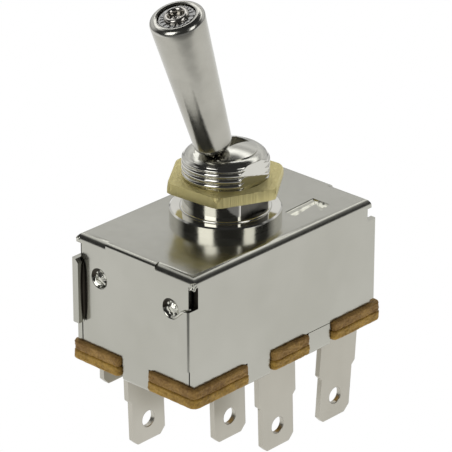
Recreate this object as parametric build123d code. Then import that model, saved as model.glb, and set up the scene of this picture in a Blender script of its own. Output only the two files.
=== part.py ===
from build123d import *
from math import cos, radians, sin, sqrt, tan
import os

# Heavy-duty panel toggle switch with a locking, pull-to-release bat lever.
# Millimetres. Z = 0 is the upper face of the bushing's collar, where the panel
# seats. +Z runs up the bushing, +X along the case, towards the side that the
# lever leans away from. Every piece is modelled in the pose of the photograph.

# Case, one folded sheet
case_length = 35.4
case_width = 21.8
case_height = 16.05
sheet = 0.8
bend_radius = 1.1
flap_bend_radius = 0.55
flap_bend_half = 4.6
flap_bend_shift = 0.8
corner_slit = 0.2
slit_top = 1.4
tab_seat_gap = 0.3
crimp_width = 4.5
end_crimp_width = 4.9
crimp_lip = 1.2
crimp_near_x = -5.1
crimp_far_x = 7.2
stake_radius = 1.5
stake_floor_radius = 1.2
stake_depth = 0.45
stake_crest_radius = 0.8
stake_crest_top_radius = 0.3
stake_crest_height = 0.35
stake_spacing = 13.3
stake_drop = 5.6
mark_depth = 0.45
tab_bend_radius = 0.4
crimp_bend_radius = 0.75

# Corner tabs: end and side they stand at, top and bottom below the case's top, width and chamfer
corner_tabs = [(-1, -1, 4.5, 13.2, 1.9, 1.4), (-1, 1, 3.4, 12.9, 1.3, 0.5), (1, -1, 3.3, 15.5, 1.9, 0.9),
               (1, 1, 3.3, 15.5, 1.9, 0.9)]

# Hooked mark pressed into the top, in plan
mark_outline = [(6.2, -5.3), (12.2, -5.0), (12.2, -8.0), (9.6, -8.7), (11.0, -6.5), (6.0, -7.2)]

# Base, two stacked insulating plates
base_plate_thickness = 1.4
base_overhang = 0.8
base_end_overhang = 2.0
base_corner_radius = 1.2
base_edge_chamfer = 0.45
notch_clearance = 0.1

# Bushing and nut
collar_radius = 7.7
collar_height = 1.5
collar_chamfer = 0.2
neck_radius = 5.95
neck_height = 2.95
relief_radius = 5.55
relief_overlap = 0.7
thread_radius = 6.0
thread_pitch = 1.0
thread_depth = 0.5
thread_groove_half = 0.4
thread_groove_count = 4
thread_start_z = 7.3
crown_edge_radius = 5.9
shoulder_radius = 1.6
shoulder_z = 6.7
crown_radius = 12.4
flat_offset = 5.3
flare_start_z = 0.6
stake_flange_radius = 7.0
stake_flange_height = 0.8
nut_across_flats = 14.7
nut_height = 1.75
nut_z = 3.3
nut_turn = -22.0
nut_clearance = 0.05
nut_chamfer = 0.4

# Lever
throw_deg = 19.0
pivot_z = 2.7
ball_radius = 3.2
ball_clearance = 0.1
pin_radius = 0.8
pin_half_length = 4.7
running_fit = 0.05
rod_radius = 1.15
rod_end = 29.35
head_radius = 1.65
head_height = 0.8
head_socket_radius = 1.2
head_socket_depth = 0.6
shank_radius = 2.3
shank_length = 8.6
plunger_radius = 1.25
plunger_reach = 10.0
plunger_length = 4.0
plunger_bore_depth = 6.6
gate_clearance = 0.07
gate_floor = 1.0
slot_end_gap = 0.1

# Sleeve, sprung against the washer at the rod's end
sleeve_top = 28.95
sleeve_top_radius = 3.75
sleeve_nose_radius = 2.65
nose_round = 1.2
nose_gap = 0.1
rim_chamfer = 0.45
guide_length = 4.1
spring_bore_radius = 1.95
cap_bore_radius = 2.65
cap_bore_depth = 3.4
sleeve_travel = 2.0
seat_radius = 3.0
seat_depth = 0.35
washer_clearance = 0.1
washer_thickness = 0.6

# Springs
sleeve_wire = 0.45
sleeve_spring_radius = 1.62
sleeve_spring_turns = 6
plunger_wire = 0.32
plunger_spring_radius = 0.95
plunger_spring_turns = 3
spring_seat_gap = 0.05

# Rocking cradle and its contacts
rock_deg = 6.0
axle_z = -12.8
axle_radius = 0.8
axle_half_length = 5.0
axle_fit = 0.06
lug_radius = 1.5
lug_thickness = 1.0
hub_radius = 2.1
hub_end_gap = 0.3
wing_underside = 1.9
wing_thickness = 1.5
trough_gap = 0.06
trough_wall_height = 1.6
trough_half_length = 4.6
trough_half_width = 2.2
web_near_reach = 9.0
web_far_reach = 6.4
wing_margin = 0.3
bridge_thickness = 0.5
bridge_width = 2.4
button_radius = 1.5
fixed_contact_radius = 1.35
button_height = 0.8
button_crown = 5.0
contact_gap = 0.04
fixed_contact_height = 0.7
rivet_radius = 0.6
rivet_head_radius = 1.0
rivet_head_height = 0.35

# Terminals, flat blades with an eye
blade_width = 6.3
blade_thickness = 0.8
shoulder_width = 7.5
shoulder_drop = 6.0
blade_length = 13.4
blade_tip_chamfer = 0.9
eye_radius = 1.2
eye_from_tip = 3.3
spare_blade_length = 4.6
neck_width = 2.8
neck_clearance = 0.05
seat_reach = 3.3
near_row_inset = 1.8
far_row_inset = 1.8
spare_row_offset = 3.9
centre_row_offset = 6.6
blade_b_inset = 4.6
blade_c_offset = 2.6
blade_d_inset = 6.9
blade_e_inset = 5.7
centre_neck_shift = 2.1

# How far a cutter runs past what it cuts
overrun = 1.0

# Levels worked out from the sizes above
case_top = -collar_height
case_bottom = case_top - case_height
base_middle = case_bottom - base_plate_thickness
base_bottom = base_middle - base_plate_thickness
half_length = case_length / 2
half_width = case_width / 2
near_row = near_row_inset - half_width
far_row = half_width - far_row_inset
crown_drop = sqrt((crown_radius - shoulder_radius) ** 2 - (crown_edge_radius - shoulder_radius) ** 2)
crown_centre_z = shoulder_z - crown_drop
crown_top = crown_centre_z + crown_radius

# Centre of each blade, the way along Y in which its inner seat turns, how far
# along X its neck stands from the middle of the blade, and its lean along X
terminals = {
    "terminal_a": (0.0, near_row, 1, 0.0, 2.0),
    "terminal_b": (half_length - blade_b_inset, near_row, 1, 0.0, -4.5),
    "terminal_c": (-blade_c_offset, near_row + centre_row_offset, 1, -centre_neck_shift, 2.0),
    "terminal_d": (blade_d_inset - half_length, far_row - spare_row_offset, -1, 0.0, 2.0),
    "terminal_e": (blade_e_inset - half_length, far_row, -1, 0.0, 0.0),
}

# Pose of the lever and the cradle in the photograph
throw = radians(throw_deg)
rock = radians(rock_deg)
lever_pivot = Location((0, 0, pivot_z), (0, -throw_deg, 0))
cradle_pivot = Location((0, 0, axle_z), (0, rock_deg, 0))


def block(x0, x1, y0, y1, z0, z1):
    """A box between two corners."""
    return Pos((x0 + x1) / 2, (y0 + y1) / 2, (z0 + z1) / 2) * Box(abs(x1 - x0), abs(y1 - y0), abs(z1 - z0))


def drum(radius, z0, z1, x=0.0, y=0.0):
    """An upright cylinder between two heights."""
    return Pos(x, y, (z0 + z1) / 2) * Cylinder(radius, abs(z1 - z0))


def turned(points):
    """A solid turned about Z from its outline of radius and height."""
    outline = make_face(Polyline(*[(r, 0, z) for r, z in points], close=True))
    return revolve(outline, Axis.Z)


def save(shape, name):
    """Write one piece to the parts folder."""
    export_step(shape, f"parts/{name}.step")


def nose_height():
    """Height above the pivot of the sleeve's nose, where it just clears the crown at the end of its throw."""
    flat = sleeve_nose_radius - nose_round
    rise = pivot_z - crown_centre_z
    reach = crown_radius + nose_round + nose_gap
    half_b = rise * cos(throw)
    rest = flat ** 2 + rise ** 2 - 2 * rise * flat * sin(throw) - reach ** 2
    return -half_b + sqrt(half_b ** 2 - rest) - nose_round


def trough_path():
    """Height over the axle and radius of the arc that the plunger's end draws in the cradle."""
    middle = pivot_z - plunger_reach - axle_z
    x = plunger_reach * sin(throw)
    z = pivot_z - plunger_reach * cos(throw) - axle_z
    end_x = x * cos(rock) - z * sin(rock)
    rise = x * sin(rock) + z * cos(rock) - middle
    return middle, (end_x ** 2 + rise ** 2) / (2 * rise)


def contact_level(x):
    """Height of a fixed contact under a crowned button at x, when that end of the cradle is down."""
    crown_centre = wing_underside - bridge_thickness - button_height + button_crown
    return axle_z + crown_centre * cos(rock) - abs(x) * sin(rock) - button_crown - contact_gap


nose_z = nose_height()
path_height, path_radius = trough_path()
bridge_underside = wing_underside - bridge_thickness
fulcrum_level = axle_z + bridge_underside * cos(rock) - contact_gap
crimps = [(crimp_near_x, -1), (crimp_far_x, -1), (crimp_near_x, 1), (crimp_far_x, 1)]


# Case
def make_case():
    shell = block(-half_length, half_length, -half_width, half_width, case_bottom, case_top)
    shell = fillet(shell.edges().group_by(Axis.Z)[-1], bend_radius)

    # Tighter bend along the middle of each end flap
    y0 = flap_bend_shift - flap_bend_half
    y1 = flap_bend_shift + flap_bend_half
    for sx in (-1, 1):
        lip = block(sx * (half_length - 2 * bend_radius), sx * half_length, y0, y1,
                    case_top - 2 * bend_radius, case_top)
        corner = (sx * half_length, flap_bend_shift, case_top)
        shell += fillet(lip.edges().filter_by(Axis.Y).sort_by_distance(corner)[0], flap_bend_radius)
    inner_x = half_length - sheet
    inner_y = half_width - sheet
    shell -= block(-inner_x, inner_x, -inner_y, inner_y, case_bottom - overrun, case_top - sheet)

    # Slits where the end flaps stop short of the long sides, with the corners open above the tabs
    for sx, sy, top, bottom, width, corner_cut in corner_tabs:
        slit_y = sy * (inner_y - corner_slit)
        outer_x = sx * (half_length + overrun)
        shell -= block(sx * (inner_x - overrun), outer_x, slit_y, sy * inner_y,
                       case_bottom - overrun, case_top - slit_top)
        shell -= block(sx * inner_x, outer_x, slit_y, sy * (half_width + overrun),
                       case_top - top, case_top - slit_top)

    # Corner tabs of the long sides, folded round over the end flaps
    tab_face = half_length + tab_seat_gap + sheet
    for sx, sy, top, bottom, width, corner_cut in corner_tabs:
        high = case_top - top
        low = case_top - bottom
        free_y = sy * (half_width - width)
        tab = block(sx * (half_length + tab_seat_gap), sx * tab_face, free_y, sy * half_width, low, high)
        tab += block(sx * inner_x, sx * tab_face, sy * inner_y, sy * half_width, low, high)
        outer_corner = (sx * tab_face, sy * half_width, (low + high) / 2)
        tab = fillet(tab.edges().filter_by(Axis.Z).sort_by_distance(outer_corner)[0], tab_bend_radius)
        free_corner = (sx * (tab_face - sheet / 2), free_y, high)
        shell += chamfer(tab.edges().filter_by(Axis.X).sort_by_distance(free_corner)[0], corner_cut)

    # Crimped tabs that hold the base plates
    lip_bottom = base_bottom - sheet
    for x, sy in crimps:
        x0 = x - crimp_width / 2
        x1 = x + crimp_width / 2
        tab = block(x0, x1, sy * inner_y, sy * half_width, lip_bottom, case_bottom + overrun)
        tab += block(x0, x1, sy * (half_width - crimp_lip), sy * half_width, lip_bottom, base_bottom)
        fold = tab.edges().filter_by(Axis.X).sort_by_distance((x, sy * half_width, lip_bottom))[0]
        shell += fillet(fold, crimp_bend_radius)
    y1 = end_crimp_width / 2
    for sx in (-1, 1):
        tab = block(sx * inner_x, sx * half_length, -y1, y1, lip_bottom, case_bottom + overrun)
        tab += block(sx * (half_length - crimp_lip), sx * half_length, -y1, y1, lip_bottom, base_bottom)
        fold = tab.edges().filter_by(Axis.Y).sort_by_distance((sx * half_length, 0, lip_bottom))[0]
        shell += fillet(fold, crimp_bend_radius)

    # Two round stakes pressed into each end flap, each with a raised crest in its middle
    stake = Pos(0, 0, -stake_depth / 2) * Cone(stake_floor_radius, stake_radius, stake_depth)
    crest_z = stake_crest_height / 2 - stake_depth
    stake -= Pos(0, 0, crest_z) * Cone(stake_crest_radius, stake_crest_top_radius, stake_crest_height)
    for sx in (-1, 1):
        for sy in (-1, 1):
            centre = (sx * half_length, sy * stake_spacing / 2, case_top - stake_drop)
            shell -= Pos(*centre) * (Rot(0, sx * 90, 0) * stake)

    # Hole for the bushing, and the hooked mark pressed into the top
    shell -= drum(neck_radius, case_top - sheet - overrun, case_top + overrun)
    hook = make_face(Polyline(*mark_outline, close=True))
    shell -= extrude(Plane.XY.offset(case_top) * hook, -mark_depth)
    return shell


# Base plates
def plate_outline(bottom, top):
    y = half_width + base_overhang
    plate = block(-half_length - base_overhang, half_length + base_end_overhang, -y, y, bottom, top)
    plate = fillet(plate.edges().filter_by(Axis.Z), base_corner_radius)
    return plate


def cut_plate(plate, bottom, top):
    """Notches for the crimped tabs, and slots for the terminals' necks."""
    low = bottom - overrun
    high = top + overrun
    inner_x = half_length - sheet - notch_clearance
    inner_y = half_width - sheet - notch_clearance
    outer_x = half_length + base_end_overhang + overrun
    outer_y = half_width + base_overhang + overrun
    w = crimp_width / 2 + notch_clearance
    for x, sy in crimps:
        plate -= block(x - w, x + w, sy * inner_y, sy * outer_y, low, high)
    w = end_crimp_width / 2 + notch_clearance
    for sx in (-1, 1):
        plate -= block(sx * inner_x, sx * outer_x, -w, w, low, high)
    w = neck_width / 2 + neck_clearance
    d = blade_thickness / 2 + neck_clearance
    for x, y, _, shift, _ in terminals.values():
        plate -= block(x + shift - w, x + shift + w, y - d, y + d, low, high)
    return plate


def make_base_upper():
    plate = plate_outline(base_middle, case_bottom)
    plate = chamfer(plate.edges().group_by(Axis.Z)[0], base_edge_chamfer)
    lug_inner = axle_half_length - lug_thickness
    for sy in (-1, 1):
        post = block(-lug_radius, lug_radius, sy * lug_inner, sy * axle_half_length, base_middle, axle_z)
        eye = Rot(90, 0, 0) * Cylinder(lug_radius, lug_thickness)
        post += Pos(0, sy * (lug_inner + lug_thickness / 2), axle_z) * eye
        plate += post
    plate -= Pos(0, 0, axle_z) * (Rot(90, 0, 0) * Cylinder(axle_radius, 4 * axle_half_length))
    return cut_plate(plate, base_middle, case_bottom)


def make_base_lower():
    plate = plate_outline(base_bottom, base_middle)
    plate = chamfer(plate.edges().group_by(Axis.Z)[-1], base_edge_chamfer * 0.8)
    plate = chamfer(plate.edges().group_by(Axis.Z)[0], base_edge_chamfer * 0.6)
    return cut_plate(plate, base_bottom, base_middle)


# Bushing
def make_bushing():
    mouth_z = case_top - sheet - stake_flange_height
    high = crown_top + overrun
    outline = [(0, mouth_z), (stake_flange_radius, mouth_z), (stake_flange_radius, case_top - sheet),
               (neck_radius, case_top - sheet), (neck_radius, case_top),
               (collar_radius, case_top), (collar_radius, -collar_chamfer), (collar_radius - collar_chamfer, 0),
               (neck_radius, 0), (neck_radius, neck_height), (relief_radius, neck_height),
               (relief_radius, nut_z + relief_overlap), (thread_radius, nut_z + relief_overlap),
               (thread_radius, high), (0, high)]
    body = turned(outline)

    # Thread grooves, evenly spaced down from the shoulder
    flare = 1 + overrun / thread_depth
    for i in range(thread_groove_count):
        z = thread_start_z - i * thread_pitch
        half = thread_groove_half * flare
        body -= turned([(thread_radius + overrun, z - half), (thread_radius - thread_depth, z),
                        (thread_radius + overrun, z + half)])

    # Rounded shoulder and crown
    core_radius = crown_edge_radius - shoulder_radius
    allowed = Pos(0, 0, crown_centre_z) * Sphere(crown_radius)
    allowed &= drum(thread_radius + overrun, shoulder_z, high)
    ring = Pos(0, 0, shoulder_z) * Torus(core_radius, shoulder_radius)
    top = (ring + drum(core_radius, shoulder_z - overrun, high)) & allowed
    bead_z = thread_start_z - thread_pitch
    below = drum(collar_radius + overrun, mouth_z - overrun, bead_z)
    body = body & (below + drum(crown_edge_radius, bead_z, shoulder_z) + top)

    # Keyway flat along the thread and neck
    body -= block(-thread_radius, thread_radius, -collar_radius - overrun, -flat_offset, 0, high)

    # Ball socket, open below, with room for the lever's shank
    socket = ball_radius + ball_clearance
    body -= Pos(0, 0, pivot_z) * Sphere(socket)
    body -= drum(socket, mouth_z - overrun, pivot_z)
    shank_half = shank_radius / cos(throw) + ball_clearance
    low = mouth_z - overrun
    mouth = (pivot_z - low) * tan(throw) + shank_half
    start = max((pivot_z - flare_start_z) * tan(throw) + shank_half, socket)
    body -= turned([(0, low), (mouth, low), (start, flare_start_z), (0, flare_start_z)])

    # Slots that let the pivot pin in from below
    body -= block(-pin_radius, pin_radius, -pin_half_length, pin_half_length, mouth_z - overrun, pivot_z)
    body -= Pos(0, 0, pivot_z) * (Rot(90, 0, 0) * Cylinder(pin_radius, 2 * pin_half_length))

    # Gate through the crown for the rod, with ends sloped to the throw
    rod_half = rod_radius / cos(throw) + slot_end_gap
    x_low = gate_floor * tan(throw) + rod_half
    x_high = (high - pivot_z) * tan(throw) + rod_half
    low = pivot_z + gate_floor
    side = make_face(Polyline((-x_low, 0, low), (x_low, 0, low), (x_high, 0, high), (-x_high, 0, high),
                              close=True))
    body -= extrude(side, rod_radius + gate_clearance, dir=(0, 1, 0), both=True)

    # Seat round the sleeve's nose in the locked position
    body -= lever_pivot * drum(seat_radius, nose_z - seat_depth, rod_end)
    return body


def make_nut():
    corner = nut_across_flats / 2 / cos(radians(30))
    hexagon = Plane.XY.offset(nut_z) * (Rot(0, 0, nut_turn) * RegularPolygon(corner, 6))
    nut = extrude(hexagon, nut_height)
    slope = nut_chamfer + (corner - nut_across_flats / 2)
    drop = slope * tan(radians(30))
    top = nut_z + nut_height
    flat_radius = nut_across_flats / 2 - nut_chamfer
    outside = corner + overrun
    edge = top - drop - overrun * tan(radians(30))
    low = nut_z - overrun
    nut &= turned([(0, low), (outside, low), (outside, edge), (flat_radius, top), (0, top)])
    bore = thread_radius + nut_clearance
    nut -= drum(bore, low, top + overrun)
    nut -= turned([(0, top - nut_chamfer), (bore, top - nut_chamfer), (bore + nut_chamfer, top), (0, top)])
    return nut


# Lever, built upright about its pivot and then leaned into the locked position
def make_rod():
    rod = Sphere(ball_radius)
    rod += drum(rod_radius, 0, rod_end - head_height)
    rod += drum(head_radius, rod_end - head_height, rod_end)
    rod -= drum(head_socket_radius, rod_end - head_socket_depth, rod_end + overrun)
    rod += drum(shank_radius, -shank_length, 0)
    rod -= drum(plunger_radius + running_fit, -shank_length - overrun, -shank_length + plunger_bore_depth)
    rod -= Rot(90, 0, 0) * Cylinder(pin_radius + running_fit, 4 * ball_radius)
    return lever_pivot * rod


def sleeve_radius(z):
    """Outer radius of the sleeve's cone at a height above the pivot."""
    share = (z - nose_z - nose_round) / (sleeve_top - nose_z - nose_round)
    return sleeve_nose_radius + share * (sleeve_top_radius - sleeve_nose_radius)


def make_sleeve():
    flat = sleeve_nose_radius - nose_round
    rim = sleeve_radius(sleeve_top - rim_chamfer)
    corner = nose_round * (1 - cos(radians(45)))
    side = Polyline((flat, 0, nose_z), (0, 0, nose_z), (0, 0, sleeve_top), (rim - rim_chamfer, 0, sleeve_top),
                    (rim, 0, sleeve_top - rim_chamfer), (sleeve_nose_radius, 0, nose_z + nose_round))
    middle = (sleeve_nose_radius - corner, 0, nose_z + corner)
    nose = ThreePointArc((sleeve_nose_radius, 0, nose_z + nose_round), middle, (flat, 0, nose_z))
    body = revolve(make_face(side + nose), Axis.Z)
    body -= drum(rod_radius + running_fit, nose_z - overrun, sleeve_top + overrun)
    body -= drum(spring_bore_radius, nose_z + guide_length, sleeve_top + overrun)
    body -= drum(cap_bore_radius, sleeve_top - cap_bore_depth, sleeve_top + overrun)
    return lever_pivot * body


def make_washer():
    seat = rod_end - head_height
    ring = drum(cap_bore_radius - washer_clearance, seat - washer_thickness, seat)
    ring -= drum(rod_radius, seat - washer_thickness - overrun, seat + overrun)
    return lever_pivot * ring


def coil(radius, wire, low, high, turns):
    """A compression spring of square wire between two heights, its wire's centre half a wire inside both."""
    rise = high - low - wire
    path = Pos(0, 0, low + wire / 2) * Helix(pitch=rise / turns, height=rise, radius=radius)
    section = Plane(path @ 0, x_dir=(1, 0, 0), z_dir=path % 0) * Rectangle(wire, wire)
    return sweep(section, path=path, is_frenet=True)


def make_sleeve_spring():
    low = nose_z + guide_length + spring_seat_gap
    high = rod_end - head_height - washer_thickness - spring_seat_gap
    return lever_pivot * coil(sleeve_spring_radius, sleeve_wire, low, high, sleeve_spring_turns)


def make_plunger():
    plunger = Pos(0, 0, -plunger_reach) * Sphere(plunger_radius)
    plunger += drum(plunger_radius, -plunger_reach, -plunger_reach + plunger_length)
    return lever_pivot * plunger


def make_plunger_spring():
    low = -plunger_reach + plunger_length + spring_seat_gap
    high = -shank_length + plunger_bore_depth - spring_seat_gap
    return lever_pivot * coil(plunger_spring_radius, plunger_wire, low, high, plunger_spring_turns)


def make_pivot_pin():
    return Pos(0, 0, pivot_z) * (Rot(90, 0, 0) * Cylinder(pin_radius, 2 * pin_half_length))


# Cradle, built level about its axle and then rocked with the lever
def strip(points, z0, z1, width):
    """A flat strip with round ends along a route of points."""
    shape = None
    for start, end in zip(points, points[1:]):
        run = extrude(Plane.XY.offset(z0) * make_hull([*(Pos(*start) * Circle(width / 2)).edges(),
                                                       *(Pos(*end) * Circle(width / 2)).edges()]), z1 - z0)
        shape = run if shape is None else shape + run
    return shape


def seat_centre(name):
    """Where a terminal's contact sits, on the seat beside its blade."""
    x, y, turn, shift, _ = terminals[name]
    return x + shift, y + turn * (seat_reach - fixed_contact_radius - neck_clearance)


def make_cradle():
    hub_half = axle_half_length - lug_thickness - hub_end_gap
    body = Rot(90, 0, 0) * Cylinder(hub_radius, 2 * hub_half)
    trough_floor = path_height - plunger_radius - trough_gap
    trough_top = trough_floor + trough_wall_height
    wing_top = wing_underside + wing_thickness
    wing_width = bridge_width + 2 * wing_margin
    body += block(-hub_radius, hub_radius, -hub_half, hub_half, 0, wing_top)
    x = trough_half_length
    body += block(-x, x, -trough_half_width, trough_half_width, wing_underside, trough_top)
    body += block(-x, x, -web_near_reach, web_far_reach, wing_underside, wing_top)
    near_run = [seat_centre("terminal_a"), seat_centre("terminal_b")]
    body += strip(near_run, wing_underside, wing_top, wing_width)
    far_run = [seat_centre("terminal_c"), seat_centre("terminal_d"), seat_centre("terminal_e")]
    body += strip(far_run, wing_underside, wing_top, wing_width)
    trough_radius = path_radius + plunger_radius + trough_gap
    trough = Rot(90, 0, 0) * Cylinder(trough_radius, 4 * trough_half_width)
    body -= Pos(0, 0, path_height + path_radius) * trough
    body -= Rot(90, 0, 0) * Cylinder(axle_radius + axle_fit, 4 * hub_half)
    for x, y in rivet_places():
        body -= drum(rivet_radius, wing_underside - overrun, wing_top + overrun, x, y)
    return cradle_pivot * body


def rivet_places():
    """One rivet halfway along each run of the two bridges."""
    a, b = seat_centre("terminal_a"), seat_centre("terminal_b")
    c, d = seat_centre("terminal_c"), seat_centre("terminal_d")
    return [((a[0] + b[0]) / 2, (a[1] + b[1]) / 2), ((c[0] + d[0]) / 2, (c[1] + d[1]) / 2)]


def make_rivets():
    low = bridge_underside - rivet_head_height
    high = wing_underside + wing_thickness
    pins = []
    for x, y in rivet_places():
        pin = drum(rivet_radius, low, high + rivet_head_height, x, y)
        pin += drum(rivet_head_radius, low, bridge_underside, x, y)
        pin += drum(rivet_head_radius, high, high + rivet_head_height, x, y)
        pins.append(cradle_pivot * pin)
    return Compound(children=pins)


def make_bridge(names, rivet):
    bar = strip([seat_centre(name) for name in names], bridge_underside, wing_underside, bridge_width)
    bar -= drum(rivet_radius, bridge_underside - overrun, wing_underside + overrun, *rivet)
    return cradle_pivot * bar


def make_button(name):
    """A crowned moving contact under its bridge."""
    x, y = seat_centre(name)
    body = drum(button_radius, bridge_underside - button_height, bridge_underside, x, y)
    body &= Pos(x, y, bridge_underside - button_height + button_crown) * Sphere(button_crown)
    return cradle_pivot * body


def make_axle():
    return Pos(0, 0, axle_z) * (Rot(90, 0, 0) * Cylinder(axle_radius, 2 * axle_half_length))


# Terminals and fixed contacts
def contact_top(name):
    """Height of a terminal's own contact when its side of the cradle is down."""
    if name == "terminal_a":
        return fulcrum_level
    if name == "terminal_c":
        x = abs(seat_centre(name)[0])
        return fulcrum_level - x * sin(rock) - contact_gap
    return contact_level(seat_centre(name)[0])


def make_terminal(name, length):
    x, y, turn, shift, lean = terminals[name]
    slope = tan(radians(lean))
    face = Plane((x, y, 0), x_dir=(1, 0, 0), z_dir=(0, -1, 0))
    tip = base_bottom - length
    w = blade_width / 2
    s = shoulder_width / 2
    step = s - w
    c = blade_tip_chamfer
    low = base_bottom - shoulder_drop
    if length > shoulder_drop:
        outline = [(-s, base_bottom), (s, base_bottom), (s, low), (w, low - step), (w, tip + c), (w - c, tip),
                   (c - w, tip), (-w, tip + c), (-w, low - step), (-s, low)]
    else:
        outline = [(-w, base_bottom), (w, base_bottom), (w, tip + c), (w - c, tip), (c - w, tip), (-w, tip + c)]
    leaned = [(u + slope * (base_bottom - v), v) for u, v in outline]
    blade = extrude(face * make_face(Polyline(*leaned, close=True)), blade_thickness / 2, both=True)
    if length > shoulder_drop:
        eye = Rot(90, 0, 0) * Cylinder(eye_radius, 4 * blade_thickness)
        blade -= Pos(x + slope * (length - eye_from_tip), y, tip + eye_from_tip) * eye
    seat_top = contact_top(name) - fixed_contact_height
    n = neck_width / 2
    t = blade_thickness / 2
    blade += block(x + shift - n, x + shift + n, y - t, y + t, base_bottom, seat_top)
    blade += block(x + shift - n, x + shift + n, y - turn * t, y + turn * seat_reach, seat_top - blade_thickness,
                   seat_top)
    return blade


def make_fixed_contact(name):
    x, y = seat_centre(name)
    top = contact_top(name)
    disc = drum(fixed_contact_radius, top - fixed_contact_height, top, x, y)
    if name in ("terminal_a", "terminal_c"):
        disc &= Pos(x, y, top - button_radius) * Sphere(button_radius)
    return disc


os.makedirs("parts", exist_ok=True)
save(make_case(), "case")
save(make_base_upper(), "base_upper")
save(make_base_lower(), "base_lower")
save(make_bushing(), "bushing")
save(make_nut(), "hex_nut")
save(make_pivot_pin(), "pivot_pin")
save(make_rod(), "lever_rod")
save(make_sleeve(), "lever_sleeve")
save(make_washer(), "tip_washer")
save(make_sleeve_spring(), "sleeve_spring")
save(make_plunger(), "plunger")
save(make_plunger_spring(), "plunger_spring")
save(make_cradle(), "cradle")
save(make_axle(), "cradle_axle")
save(make_rivets(), "bridge_rivets")
save(make_bridge(["terminal_a", "terminal_b"], rivet_places()[0]), "bridge_near")
save(make_bridge(["terminal_c", "terminal_d", "terminal_e"], rivet_places()[1]), "bridge_far")
for key in ("b", "d", "e"):
    save(make_button(f"terminal_{key}"), f"moving_contact_{key}")
for name in terminals:
    length = spare_blade_length if name == "terminal_e" else blade_length
    save(make_terminal(name, length), name)
    save(make_fixed_contact(name), name.replace("terminal", "fixed_contact"))
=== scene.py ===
from math import cos, pi, radians, sin

import bpy
import bmesh
import numpy as np
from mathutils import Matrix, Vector


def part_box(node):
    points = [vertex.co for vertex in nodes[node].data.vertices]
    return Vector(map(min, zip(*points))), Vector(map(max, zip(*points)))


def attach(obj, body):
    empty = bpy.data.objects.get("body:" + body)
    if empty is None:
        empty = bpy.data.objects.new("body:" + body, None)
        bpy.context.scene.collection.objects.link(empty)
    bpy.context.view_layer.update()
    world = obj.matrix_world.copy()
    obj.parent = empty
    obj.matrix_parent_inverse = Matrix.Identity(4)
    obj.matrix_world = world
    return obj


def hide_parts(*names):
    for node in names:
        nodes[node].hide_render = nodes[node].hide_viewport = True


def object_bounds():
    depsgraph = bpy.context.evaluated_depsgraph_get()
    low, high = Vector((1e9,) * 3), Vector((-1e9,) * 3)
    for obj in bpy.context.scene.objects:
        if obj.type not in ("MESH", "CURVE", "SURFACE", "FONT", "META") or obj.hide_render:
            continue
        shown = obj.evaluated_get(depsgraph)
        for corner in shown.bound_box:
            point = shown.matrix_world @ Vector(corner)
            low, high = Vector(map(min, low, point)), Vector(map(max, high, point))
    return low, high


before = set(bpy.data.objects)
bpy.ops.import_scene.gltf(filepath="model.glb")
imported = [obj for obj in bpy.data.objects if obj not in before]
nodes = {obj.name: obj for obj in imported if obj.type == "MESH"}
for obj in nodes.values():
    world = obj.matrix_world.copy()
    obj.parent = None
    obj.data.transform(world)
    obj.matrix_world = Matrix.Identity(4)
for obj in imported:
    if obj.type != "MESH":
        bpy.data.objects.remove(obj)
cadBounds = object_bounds()
mm = 0.001
print("frame loaded")


# Places shared with the solids, in metres
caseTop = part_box("case")[1].z
floorZ = cadBounds[0].z


# Camera: a long lens, placed where the photograph was taken from
cameraSettings = {
    "azimuth": -46.913,
    "elevation": 24.54,
    "distance": 0.430,
    "lens": 252.4,
    "shift": (0.00073, -0.0247),
    "target": (0.0, 0.0, -0.0015),
}


def addCamera(s):
    a, e = radians(s["azimuth"]), radians(s["elevation"])
    away = Vector((sin(a) * cos(e), -cos(a) * cos(e), sin(e)))
    data = bpy.data.cameras.new("camera")
    data.lens = s["lens"]
    data.sensor_width = 36.0
    data.shift_x, data.shift_y = s["shift"]
    data.clip_start, data.clip_end = 0.01, 20.0
    cam = bpy.data.objects.new("camera", data)
    cam.location = Vector(s["target"]) + away * s["distance"]
    cam.rotation_euler = away.to_track_quat("Z", "Y").to_euler()
    bpy.context.scene.collection.objects.link(cam)
    bpy.context.scene.camera = cam
    return away


cameraWay = addCamera(cameraSettings)
print("camera placed")


# Meshes

def addMesh(name, verts, faces, smooth=True):
    mesh = bpy.data.meshes.new(name)
    mesh.from_pydata([tuple(v) for v in verts], [], faces)
    mesh.update()
    if smooth:
        mesh.shade_smooth()
    obj = bpy.data.objects.new(name, mesh)
    bpy.context.scene.collection.objects.link(obj)
    return obj


def softenEdges(bm, angle):
    # smooth shading everywhere, except over edges sharper than the angle
    for f in bm.faces:
        f.smooth = True
    for e in bm.edges:
        e.smooth = len(e.link_faces) == 2 and e.calc_face_angle(0.0) < radians(angle)


def roundedCopy(node, body, angle=32.0, reshape=None):
    # a merged copy of the solid, shaded smooth across its round faces
    source = nodes[node]
    mesh = source.data.copy()
    mesh.name = node + ".skin"
    if reshape:
        points = np.empty(len(mesh.vertices) * 3, dtype=np.float32)
        mesh.vertices.foreach_get("co", points)
        points = reshape(points.reshape(-1, 3).astype(float))
        mesh.vertices.foreach_set("co", points.astype(np.float32).ravel())
    bm = bmesh.new()
    bm.from_mesh(mesh)
    bmesh.ops.remove_doubles(bm, verts=bm.verts, dist=2e-6)
    bmesh.ops.dissolve_degenerate(bm, edges=bm.edges, dist=1e-6)
    softenEdges(bm, angle)
    bm.to_mesh(mesh)
    bm.free()
    if "custom_normal" in mesh.attributes:
        mesh.attributes.remove(mesh.attributes["custom_normal"])
    obj = bpy.data.objects.new(node + ".skin", mesh)
    bpy.context.scene.collection.objects.link(obj)
    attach(obj, body)
    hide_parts(node)
    return obj


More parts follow.
